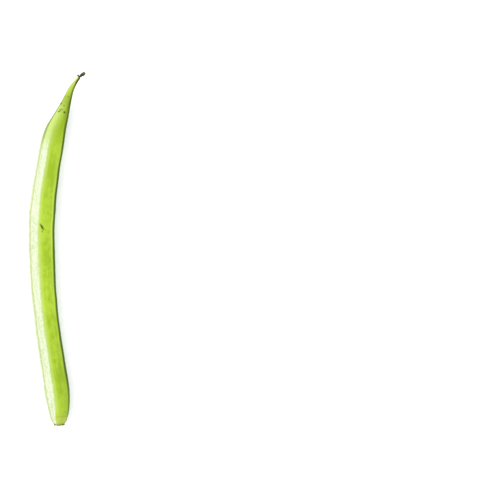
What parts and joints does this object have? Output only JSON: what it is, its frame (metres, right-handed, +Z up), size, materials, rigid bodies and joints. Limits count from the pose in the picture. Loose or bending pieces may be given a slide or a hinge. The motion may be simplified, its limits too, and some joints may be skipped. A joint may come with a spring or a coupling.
{
  "type": "cluster bean pod",
  "caption": "Slender bowed green cluster bean pod with a ribbed back, a blunt stalk end and a fine beak with a withered tip, lying on its side.",
  "frame": {"origin": "centre of the bounding box at the surface the pod lies on", "axes": "+X along the pod from its blunt stalk end to its beak, +Y to the side its back is turned to, +Z up"},
  "size_m": [0.1188, 0.019, 0.0092],
  "materials": {
    "pod_skin": "fresh yellow-green skin with fine pale down, paler along the ribbed back",
    "scar_brown": "dry, ragged, fibrous brown",
    "style_brown": "withered, dull dark brown"
  },
  "bodies": {
    "root": {"pod": "pod_skin", "stalk_scar": "scar_brown", "withered_style": "style_brown"}
  },
  "joints": []
}
